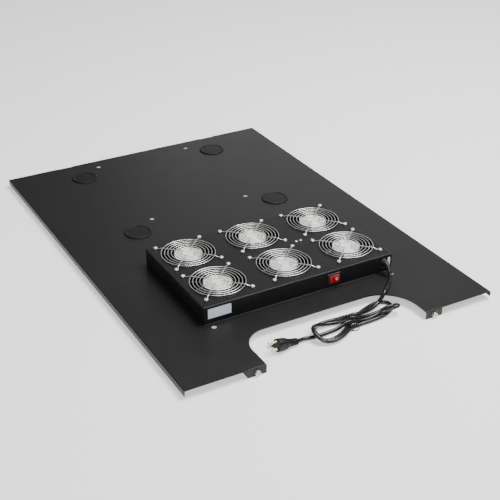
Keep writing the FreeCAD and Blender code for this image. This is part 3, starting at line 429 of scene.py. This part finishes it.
def tie():
    turns, per = 6, 44
    x0, x1 = 30.0, 58.0
    path = []
    total = turns * per
    for k in range(total + 1):
        a = 2 * math.pi * k / per - math.pi / 2 - 0.5
        n = (math.cos(a), math.sin(a))
        f = k / total
        x = x0 + (x1 - x0) * f + 2.2 * math.sin(a + 0.7)
        c = max(crossings(x * MM), key=lambda s: s[0] * n[0] + s[1] * n[1])
        r = CORD_D / 2 + 0.45
        path.append((x, c[0] + n[0] * r, max(0.55, c[1] + n[1] * r)))
    # soften the corners where the strip goes from strand to strand
    for _ in range(2):
        path = [path[0]] + [tuple((a + 2 * b + c) / 4 for a, b, c in zip(p, q, r))
                            for p, q, r in zip(path[:-2], path[1:-1], path[2:])] + [path[-1]]
        path = [(x, y, max(0.55, z)) for x, y, z in path]
    bm = bmesh.new()
    sec = [(0.4, 0.0), (0.32, 0.5), (0.0, 0.75), (-0.32, 0.5), (-0.4, 0.0), (-0.32, -0.5), (0.0, -0.75), (0.32, -0.5)]
    sweep(bm, mm(path), [(a * MM, b * MM) for a, b in sec], cap=True)
    # the twisted end lies out in front, its two tips bent apart
    core = [(36.0, -465.2, 5.4), (33.5, -467.4, 3.4), (32.6, -469.4, 1.9), (35.6, -471.6, 1.6), (39.5, -473.0, 1.5),
            (43.5, -472.9, 1.5), (47.5, -471.6, 1.5)]
    line = []
    for k in range(len(core) - 1):
        for j in range(8):
            t = j / 8
            line.append(Vector(core[k]).lerp(Vector(core[k + 1]), t))
    line.append(Vector(core[-1]))
    for _ in range(6):
        line = [line[0]] + [(a + b * 2 + c) / 4 for a, b, c in zip(line[:-2], line[1:-1], line[2:])] + [line[-1]]
    for side in (0, 1):
        pts = []
        for k, p in enumerate(line):
            q = line[min(k + 1, len(line) - 1)] - line[max(k - 1, 0)]
            q.normalize()
            u = Vector((0, 0, 1)) - q * q.z
            u.normalize()
            v = q.cross(u)
            ph = math.pi * side + k * 0.42
            w = p + (u * math.cos(ph) + v * math.sin(ph)) * 0.6
            pts.append((w.x, w.y, max(0.6, w.z)))
        if side == 0:
            pts += [(50.4, -469.6, 1.2), (52.4, -466.6, 0.9), (52.8, -463.9, 0.8)]
        else:
            pts += [(49.6, -471.9, 1.2), (51.6, -472.6, 0.9)]
        sweep(bm, mm(pts), circle(0.55 * MM, 8), cap=True)
    me = mesh_of(bm, "cord_twist_tie")
    o = link("cord_twist_tie", me, TIE, "tray_assembly")
    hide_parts("cord_tie")
    return o


tie_obj = tie()

# -------------------------------------------------------------------- plug
FACE = Vector((-133.0, -458.6, 14.5))
END = Vector((-86.0, -456.95, 8.0))


def plug_matrix():
    a = (FACE - END).normalized()
    side = Vector((0, 0, 1)).cross(a).normalized()
    up = a.cross(side)
    if up.z < 0:
        up = -up
    y = a.cross(up)
    m = Matrix(((up.x, y.x, a.x, FACE.x * MM), (up.y, y.y, a.y, FACE.y * MM),
                (up.z, y.z, a.z, FACE.z * MM), (0, 0, 0, 1)))
    return m


def superellipse(a, b, e, n, dx=0.0):
    out = []
    for k in range(n):
        t = 2 * math.pi * k / n
        c, s = math.cos(t), math.sin(t)
        out.append((dx + a * math.copysign(abs(c) ** (2 / e), c), b * math.copysign(abs(s) ** (2 / e), s)))
    return out


def plug():
    L = (FACE - END).length
    n = 56
    # z from the face back, half height (up), half width (side), squareness
    sec = [(-0.0, 11.2, 11.2, 2.2), (0.0, 12.2, 12.2, 2.2), (-0.5, 12.8, 12.7, 2.2), (-2.2, 13.0, 12.8, 2.2),
           (-3.0, 12.5, 12.3, 2.2), (-4.0, 12.9, 12.2, 2.3), (-8.0, 12.7, 11.6, 2.5), (-13.0, 12.3, 10.9, 2.7),
           (-18.0, 11.6, 10.4, 2.6), (-22.0, 10.9, 10.2, 2.4), (-23.6, 10.2, 9.8, 2.2), (-24.4, 9.2, 9.2, 2.0),
           (-25.0, 8.7, 8.7, 2.0), (-30.0, 8.5, 8.5, 2.0), (-30.8, 8.2, 8.2, 2.0), (-31.3, 7.0, 7.0, 2.0)]
    z = -31.4
    r = 7.7
    while z > -L + 3.0:
        sec += [(z - 0.3, r - 0.9, r - 0.9, 2.0), (z - 1.0, r - 0.9, r - 0.9, 2.0), (z - 1.4, r, r, 2.0), (z - 2.9, r - 0.08, r - 0.08, 2.0)]
        z -= 3.2
        r -= 0.2
    sec += [(-L + 1.2, 6.5, 6.5, 2.0), (-L + 0.3, 5.8, 5.8, 2.0), (-L, 4.8, 4.8, 2.0)]
    sec = [s for s in sec if s[0] >= -L - 1e-6]
    bm = bmesh.new()
    rings = []
    for z, a, b, e in sec:
        ring = []
        for k, (x, y) in enumerate(superellipse(a, b, e, n)):
            # finger grooves moulded along both sides
            if -21.5 < z < -5.0:
                f = abs(y) / b
                depth = 0.55 * (1 if f > 0.75 else 0) * (0.5 + 0.5 * math.cos(x / 2.1 * math.pi))
                y -= math.copysign(depth, y)
            ring.append(bm.verts.new((x * MM, y * MM, z * MM)))
        rings.append(ring)
    for r0, r1 in zip(rings[:-1], rings[1:]):
        for k in range(n):
            bm.faces.new((r0[k], r0[(k + 1) % n], r1[(k + 1) % n], r1[k]))
    bm.faces.new(list(reversed(rings[0])))
    bm.faces.new(rings[-1])
    bmesh.ops.transform(bm, matrix=plug_matrix(), verts=bm.verts)
    me = sharp(mesh_of(bm, "mains_plug_body"), 45)
    o = link("mains_plug_body", me, PLUG, "tray_assembly", smooth=False)
    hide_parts("plug_body")
    return o


plug_obj = plug()
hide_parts("power_cord_lead", "cord_hank", "cord_tail")


# ------------------------------------------------------------ finger guards
def guard_mesh():
    bm = bmesh.new()
    ring_z = TRAY_TOP + 2.0
    rib_z = TRAY_TOP + 3.85
    eye_z = TRAY_TOP + 1.15
    for r in (57.8, 50.7, 43.6, 36.5, 29.4, 22.3, 15.2):
        n = 72 if r > 30 else 48
        path = [(r * math.cos(2 * math.pi * k / n), r * math.sin(2 * math.pi * k / n), ring_z) for k in range(n)]
        sweep(bm, mm(path), circle(0.95 * MM, 8), closed=True)
    for q in range(4):
        a = math.radians(45 + 90 * q)
        prof = [(13.2, rib_z), (14.0, rib_z), (22.0, rib_z), (36.0, rib_z), (50.0, rib_z), (58.5, rib_z), (60.6, rib_z - 0.25),
                (62.2, rib_z - 0.9), (63.6, eye_z + 0.95), (65.2, eye_z + 0.25), (67.2, eye_z), (69.4, eye_z), (70.4, eye_z)]
        pts = [(r * math.cos(a), r * math.sin(a), z) for r, z in prof]
        # eyelet bent round the screw
        c = 74.25
        for k in range(1, 25):
            t = math.pi + 2 * math.pi * 0.93 * k / 24
            rr, tt = c + 3.55 * math.cos(t), 3.55 * math.sin(t)
            pts.append((rr * math.cos(a) - tt * math.sin(a), rr * math.sin(a) + tt * math.cos(a), eye_z))
        sweep(bm, mm(pts), circle(0.95 * MM, 8), cap=True)
    return mesh_of(bm, "finger_guard_wire")


GUARD_ME = guard_mesh()
for i, (x, y) in enumerate(FANS):
    o = link("finger_guard_wire_%d" % (i + 1), GUARD_ME, WIRE, None)
    o.location = (x * MM, y * MM, 0)
    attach(o, "tray_assembly")
    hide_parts("finger_guard_%d" % (i + 1))


# ------------------------------------------------------------ guard screws
def guard_screws():
    bm = bmesh.new()
    z = TRAY_TOP
    prof = [(0.0, z + 3.0), (0.7, z + 3.1), (1.2, z + 3.7), (1.9, z + 3.72), (3.0, z + 3.5), (3.8, z + 3.0), (4.15, z + 2.5),
            (4.15, z + 2.25), (1.95, z + 2.25), (1.95, z - 43.4), (1.6, z - 43.9), (0.0, z - 43.9)]
    for x, y in FANS:
        for sx in (-1, 1):
            for sy in (-1, 1):
                lathe(bm, [(r * MM, zz * MM) for r, zz in prof], origin=((x + sx * 52.5) * MM, (y + sy * 52.5) * MM, 0), n=28)
    o = link("guard_screw_heads", sharp(mesh_of(bm, "guard_screw_heads"), 45), NICKEL, "tray_assembly", smooth=False)
    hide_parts("guard_screws")


guard_screws()


# ---------------------------------------------------------------- impellers
def impeller_mesh():
    bm = bmesh.new()
    top = HUB_TOP - 5.8
    prof = [(2.5, 20.2), (26.5, 20.0), (29.4, 20.6), (30.3, 22.0), (30.5, 24.0), (30.5, top - 0.6), (30.2, top - 0.1), (29.6, top), (29.0, top - 0.4),
            (29.0, 22.4), (5.5, 22.2), (5.5, 25.0), (5.0, 25.2), (2.5, 25.2), (2.5, 20.2)]
    lathe(bm, [(r * MM, z * MM) for r, z in prof], n=72)
    nb, nr, nc = 7, 9, 12
    r0, r1 = 29.7, 56.2
    for q in range(nb):
        base = 2 * math.pi * q / nb
        grid = {}
        for side in (0, 1):
            for i in range(nr + 1):
                fr = i / nr
                r = r0 + (r1 - r0) * fr
                pitch = math.radians(40 - 12 * fr)
                chord = 34.0 + 14.0 * fr
                sweep_back = 0.26 * fr * fr
                for j in range(nc + 1):
                    fc = j / nc
                    s = (fc - 0.5) * chord
                    camber = 3.0 * (1 - (2 * fc - 1) ** 2)
                    along = s * math.cos(pitch)
                    z = 35.4 + s * math.sin(pitch) + camber * math.cos(pitch)
                    th = 0.95 * (0.25 + 0.75 * math.sqrt(max(0.0, 1 - (2 * fc - 1) ** 2))) * (1.15 - 0.35 * fr)
                    z += th if side else -th
                    z = min(max(z, 21.7), 48.7)
                    a = base + sweep_back + along / r
                    grid[side, i, j] = bm.verts.new((r * math.cos(a) * MM, r * math.sin(a) * MM, z * MM))
        for i in range(nr):
            for j in range(nc):
                bm.faces.new((grid[1, i, j], grid[1, i + 1, j], grid[1, i + 1, j + 1], grid[1, i, j + 1]))
                bm.faces.new((grid[0, i, j], grid[0, i, j + 1], grid[0, i + 1, j + 1], grid[0, i + 1, j]))
        for i in range(nr):
            bm.faces.new((grid[0, i, 0], grid[0, i + 1, 0], grid[1, i + 1, 0], grid[1, i, 0]))
            bm.faces.new((grid[0, i, nc], grid[1, i, nc], grid[1, i + 1, nc], grid[0, i + 1, nc]))
        for j in range(nc):
            bm.faces.new((grid[0, 0, j], grid[1, 0, j], grid[1, 0, j + 1], grid[0, 0, j + 1]))
            bm.faces.new((grid[0, nr, j], grid[0, nr, j + 1], grid[1, nr, j + 1], grid[1, nr, j]))
    return sharp(mesh_of(bm, "impeller_blades"), 38)


IMP_ME = impeller_mesh()
for i, (x, y) in enumerate(FANS):
    o = link("impeller_%d" % (i + 1), IMP_ME, FAN_PLASTIC, None, smooth=False)
    o.location = (x * MM, y * MM, 0)
    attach(o, "fan_rotor_%d" % (i + 1))
    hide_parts("fan_impeller_%d" % (i + 1))


# ------------------------------------------------------------------- rocker
def rocker():
    cx, py, cz = 77.75, -330.0, 38.0
    w, h = 23.4, 18.2
    bm = bmesh.new()
    half = w / 2
    # outline in plan: two dished faces meeting at a soft ridge, rounded ends
    prof = []
    for k in range(25):
        t = -1 + 2 * k / 24
        x = t * (half - 0.75)
        a = abs(t)
        y = -2.2 - 2.4 * a ** 1.35
        prof.append((x, y))
    prof = [(-half + 0.2, -0.8), (-half + 0.45, -3.6), (-half + 0.55, -4.2)] + prof + \
           [(half - 0.55, -4.2), (half - 0.45, -3.6), (half - 0.2, -0.8), (half - 4.0, 7.4), (-half + 4.0, 7.4)]
    levels = [(-h / 2, 0.9), (-h / 2 + 0.25, 0.3), (-h / 2 + 0.8, 0.0), (0.0, -0.25), (h / 2 - 0.8, 0.0), (h / 2 - 0.25, 0.3), (h / 2, 0.9)]
    rings = []
    for z, inset in levels:
        rings.append([bm.verts.new(((cx + x) * MM, (-333.0 + y + (inset if y < -0.9 else 0.0)) * MM, (cz + z) * MM)) for x, y in prof])
    n = len(prof)
    for a, b in zip(rings[:-1], rings[1:]):
        for k in range(n):
            bm.faces.new((a[k], a[(k + 1) % n], b[(k + 1) % n], b[k]))
    bm.faces.new(list(reversed(rings[0])))
    bm.faces.new(rings[-1])
    turn = Matrix.Translation((cx * MM, py * MM, 0)) @ Matrix.Rotation(math.radians(-7.0), 4, "Z") @ Matrix.Translation((-cx * MM, -py * MM, 0))
    bmesh.ops.transform(bm, matrix=turn, verts=bm.verts)
    o = link("switch_rocker_red", sharp(mesh_of(bm, "switch_rocker_red"), 40), ROCKER_RED, "switch_lever", smooth=False)
    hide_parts("switch_rocker")
    # I and O marks
    bm = bmesh.new()

    def surf(x):
        t = min(1.0, abs(x) / (half - 0.75))
        return -333.0 - 2.2 - 2.4 * t ** 1.35 - 0.02
    # I
    xi = -5.7
    for dz0, dz1 in ((-3.6, 2.4),):
        v = []
        for yy in (0.12, 0.35):
            for x, z in ((xi - 0.65, dz0), (xi + 0.65, dz0), (xi + 0.65, dz1), (xi - 0.65, dz1)):
                v.append(bm.verts.new(((cx + x) * MM, (surf(x) + 0.24 - yy - 0.06) * MM, (cz + z) * MM)))
        for f in ((0, 1, 2, 3), (7, 6, 5, 4), (0, 4, 5, 1), (1, 5, 6, 2), (2, 6, 7, 3), (3, 7, 4, 0)):
            bm.faces.new([v[i] for i in f])
    # O
    xo = 5.7
    path = []
    for k in range(32):
        a = 2 * math.pi * k / 32
        x, z = xo + 1.9 * math.cos(a), -0.6 + 2.6 * math.sin(a)
        path.append((cx + x, surf(x) + 0.05, cz + z))
    sweep(bm, mm(path), circle(0.55 * MM, 8), closed=True)
    bmesh.ops.transform(bm, matrix=turn, verts=bm.verts)
    link("switch_rocker_marks", mesh_of(bm, "switch_rocker_marks"), MARK_WHITE, "switch_lever", smooth=True)


rocker()


# --------------------------------------- fold radius along the tray's foot
def foot_fold():
    bm = bmesh.new()
    r = 1.3
    sec = [(0.0, 0.0)] + [(r - r * math.sin(math.radians(a)), r - r * math.cos(math.radians(a))) for a in range(0, 91, 15)]
    path = [(-223.4, -333.0, 18.02), (223.4, -333.0, 18.02)]
    rings = []
    for x, y, z in path:
        rings.append([bm.verts.new((x * MM, (y - a) * MM, (z + b) * MM)) for a, b in sec])
    n = len(sec)
    for k in range(n):
        bm.faces.new((rings[0][k], rings[0][(k + 1) % n], rings[1][(k + 1) % n], rings[1][k]))
    bm.faces.new(rings[0])
    bm.faces.new(list(reversed(rings[1])))
    link("tray_foot_fold", sharp(mesh_of(bm, "tray_foot_fold"), 50), TRAY, "tray_assembly", smooth=False)


foot_fold()


# ----------------------------------------- narrow hem under the cut-out edge
def cutout_hem():
    bm = bmesh.new()
    xl, xr, yr, rl, rr = -182.0, 187.0, -398.5, 55.0, 75.0
    path = [(xl, -506.0), (xl, -480.0), (xl, yr - rl)]
    path += [(xl + rl - rl * math.cos(math.radians(a)), yr - rl + rl * math.sin(math.radians(a))) for a in range(6, 90, 6)]
    path += [(xl + rl, yr), (0.0, yr), (xr - rr, yr)]
    path += [(xr - rr + rr * math.sin(math.radians(a)), yr - rr + rr * math.cos(math.radians(a))) for a in range(6, 90, 6)]
    path += [(xr, yr - rr), (xr, -490.0), (xr, -506.0)]
    sec = [(0.05, 16.75), (0.05, 15.6), (0.35, 15.1), (0.9, 15.0), (1.3, 15.3), (1.3, 16.75)]
    rings = []
    for k, (x, y) in enumerate(path):
        a, b = path[max(k - 1, 0)], path[min(k + 1, len(path) - 1)]
        dx, dy = b[0] - a[0], b[1] - a[1]
        m = math.hypot(dx, dy)
        nx, ny = -dy / m, dx / m
        rings.append([bm.verts.new(((x + nx * u) * MM, (y + ny * u) * MM, z * MM)) for u, z in sec])
    n = len(sec)
    for r0, r1 in zip(rings[:-1], rings[1:]):
        for k in range(n):
            bm.faces.new((r0[k], r0[(k + 1) % n], r1[(k + 1) % n], r1[k]))
    bm.faces.new(rings[0])
    bm.faces.new(list(reversed(rings[-1])))
    link("cutout_hem", sharp(mesh_of(bm, "cutout_hem"), 50), TRAY, "tray_assembly", smooth=False)


cutout_hem()

# --------------------------------------------------------------- hole plugs
def hole_plug_mesh():
    bm = bmesh.new()
    z = PANEL_TOP
    prof = [(0.0, z + 1.9), (8.0, z + 1.88), (18.0, z + 1.78), (23.5, z + 1.68), (25.2, z + 1.66), (26.0, z + 1.74), (26.6, z + 2.1), (27.3, z + 2.45), (28.4, z + 2.6),
            (29.8, z + 2.52), (31.0, z + 2.1), (31.7, z + 1.4), (32.0, z + 0.6), (32.0, z + 0.02), (29.7, z + 0.02), (29.7, z - 1.5), (30.4, z - 2.2),
            (30.4, z - 3.2), (29.6, z - 4.2), (29.4, z - 7.0), (28.2, z - 7.0), (28.0, z + 0.2), (0.0, z + 0.2)]
    lathe(bm, [(r * MM, zz * MM) for r, zz in prof], n=96)
    return sharp(mesh_of(bm, "cable_entry_plug"), 40)


CAP_ME = hole_plug_mesh()
for i, (x, y) in enumerate([(-181.0, 89.0), (181.0, 89.0), (-181.0, 425.4), (181.0, 425.4)]):
    o = link("cable_entry_plug_%d" % (i + 1), CAP_ME, CAP, None, smooth=False)
    o.location = (x * MM, y * MM, 0)
    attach(o, "tray_assembly")
    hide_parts("hole_plug_%d" % (i + 1))

# ------------------------------------------------- finishes of the CAD nodes
FINISH = {
    "roof_panel": PANEL, "tray_housing": TRAY, "fan_frame": CASTING, "fan_impeller": FAN_PLASTIC,
    "fan_shaft": STEEL, "finger_guard": WIRE, "fan_hub_labels": HUB_LABEL, "fan_stators": IRON,
    "fan_bearings": BRONZE, "guard_screws": NICKEL, "guard_nuts": NICKEL, "terminal_block_screws": NICKEL,
    "tab_screws": ZINC, "tab_washers": ZINC, "tab_nuts": ZINC, "tray_mounting_screws": ZINC,
    "tray_mounting_nuts": ZINC, "switch_housing": SWITCH_BLACK, "switch_rocker": ROCKER_RED,
    "switch_terminals": BRASS, "plug_blade": BRASS, "plug_ground_pin": BRASS, "plug_body": PLUG,
    "rating_label": RATING, "inspection_sticker": STICKER, "strain_relief": GLAND, "power_cord_lead": JACKET,
    "cord_hank": JACKET, "cord_tail": JACKET, "cord_tie": TIE, "hole_plug": CAP, "terminal_block": NYLON,
    "wiring_harness": HARNESS}
for name, o in NODES.items():
    key = max((k for k in FINISH if name.startswith(k)), key=len)
    if len(o.material_slots) == 0:
        o.data.materials.append(FINISH[key])
    for s in o.material_slots:
        s.material = FINISH[key]

# ------------------------------------------------------------- floor, light
bm = bmesh.new()
bmesh.ops.create_grid(bm, x_segments=4, y_segments=4, size=7.0)
floor = bpy.data.objects.new("floor", mesh_of(bm, "floor"))
SCENE.collection.objects.link(floor)
floor.location = (1.0, 2.0, 0.0)
fm, fnt, fb = nodes_of("floor_white")
fb.inputs["Base Color"].default_value = (0.93, 0.93, 0.93, 1)
fb.inputs["Roughness"].default_value = 0.9
fb.inputs["Specular IOR Level"].default_value = 0.1
fb.inputs["Emission Color"].default_value = (1, 1, 1, 1)
# the floor glows evenly, but its glow is cut to nothing in a box right under the tray: painted shade standing in for
# the shadow there
tc = add(fnt, "ShaderNodeTexCoord")
mpf = add(fnt, "ShaderNodeMapping", inputs={"Location": (1.0, 2.166, 0.0)})
fnt.links.new(tc.outputs["Object"], mpf.inputs["Vector"])
sx = add(fnt, "ShaderNodeSeparateXYZ")
fnt.links.new(mpf.outputs["Vector"], sx.inputs["Vector"])
edges = []
for axis, half in (("X", 0.226), ("Y", 0.146)):
    ab = add(fnt, "ShaderNodeMath", operation="ABSOLUTE")
    fnt.links.new(sx.outputs[axis], ab.inputs[0])
    mr = add(fnt, "ShaderNodeMapRange", inputs={"From Min": half - 0.004, "From Max": half, "To Min": 0.0, "To Max": 1.0})
    fnt.links.new(ab.outputs[0], mr.inputs["Value"])
    edges.append(mr)
mx = add(fnt, "ShaderNodeMath", operation="MAXIMUM")
fnt.links.new(edges[0].outputs[0], mx.inputs[0])
fnt.links.new(edges[1].outputs[0], mx.inputs[1])
ml = add(fnt, "ShaderNodeMath", operation="MULTIPLY", inputs={1: 0.55})
fnt.links.new(mx.outputs[0], ml.inputs[0])
fnt.links.new(ml.outputs[0], fb.inputs["Emission Strength"])
floor.data.materials.append(fm)

world = bpy.data.worlds.new("studio")
SCENE.world = world
world.use_nodes = True
bg = world.node_tree.nodes["Background"]
bg.inputs["Color"].default_value = (1, 1, 1, 1)
bg.inputs["Strength"].default_value = 0.20


def area(name, loc, target, size, power, size_y=None):
    d = bpy.data.lights.new(name, "AREA")
    d.shape = "RECTANGLE"
    d.size = size
    d.size_y = size_y or size
    d.energy = power
    o = bpy.data.objects.new(name, d)
    SCENE.collection.objects.link(o)
    o.location = loc
    o.rotation_euler = (Vector(target) - Vector(loc)).to_track_quat("-Z", "Y").to_euler()
    return o


area("key", (1.05, -0.25, 2.9), (0.1, 0, 0), 1.5, 122)
area("front", (-1.3, -3.0, 1.7), (0, -0.2, 0), 1.2, 55)
area("edge", (1.65, -1.35, 2.35), (0, -0.33, 0.05), 0.7, 26)
area("sheen", (2.4, 3.2, 1.15), (0, 0, 0), 2.6, 11, 1.2)
